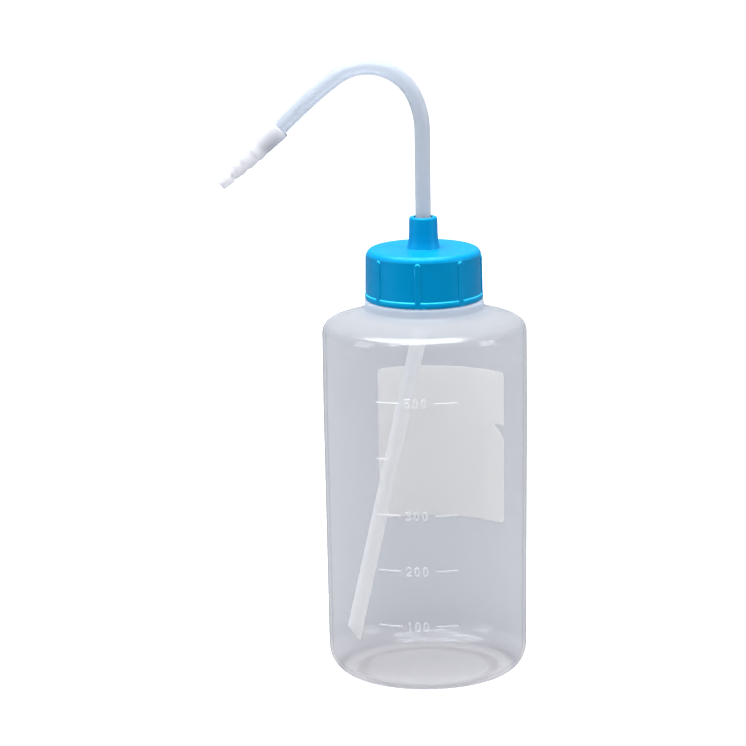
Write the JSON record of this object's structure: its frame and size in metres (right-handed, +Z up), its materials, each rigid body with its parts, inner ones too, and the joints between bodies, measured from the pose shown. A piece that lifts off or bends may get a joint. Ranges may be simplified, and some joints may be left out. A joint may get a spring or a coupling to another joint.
{
  "type": "wash bottle",
  "caption": "Translucent squeeze bottle with graduation lines, ribbed screw cap with a tower, a bent spout and dip tube in one piece, and a stepped push-on nozzle.",
  "frame": {"origin": "centre of the bottle's base, on the surface it stands on", "axes": "+Z up along the bottle's axis, -X the way the spout reaches, -Y the face with the graduation lines"},
  "size_m": [0.1186, 0.0799, 0.2429],
  "materials": {
    "bottle_plastic": "translucent low-density polyethylene, glossy outside",
    "label_paper": "blank white paper label",
    "cap_plastic": "moulded polypropylene, satin",
    "liner_foam": "soft white foamed polyethylene",
    "tube_plastic": "translucent polyethylene tube",
    "nozzle_plastic": "milky polyethylene"
  },
  "bodies": {
    "bottle_body": {"bottle": "bottle_plastic", "label": "label_paper"},
    "liner_body": {"cap_liner": "liner_foam"},
    "cap_body": {"screw_cap": "cap_plastic"},
    "tube_body": {"delivery_tube": "tube_plastic"},
    "nozzle_body": {"nozzle_tip": "nozzle_plastic"}
  },
  "joints": [
    {"name": "cap_lift", "type": "slide", "parent": "bottle_body", "child": "liner_body", "axis": [0, 0, 1], "range_m": [0, 0.008]},
    {"name": "cap_turn", "type": "hinge", "parent": "liner_body", "child": "cap_body", "pos_m": [0, 0, 0.16], "axis": [0, 0, 1], "range_deg": [0, 720]},
    {"name": "tube_swivel", "type": "hinge", "parent": "cap_body", "child": "tube_body", "pos_m": [0, 0, 0.175], "axis": [0, 0, 1], "continuous": true},
    {"name": "nozzle_pull", "type": "slide", "parent": "tube_body", "child": "nozzle_body", "axis": [-0.7206, 0, -0.6934], "range_m": [0, 0.012]}
  ],
  "couplings": [
    {"joint": "cap_turn", "follows": "cap_lift", "rad_per_m": 1570.8}
  ]
}
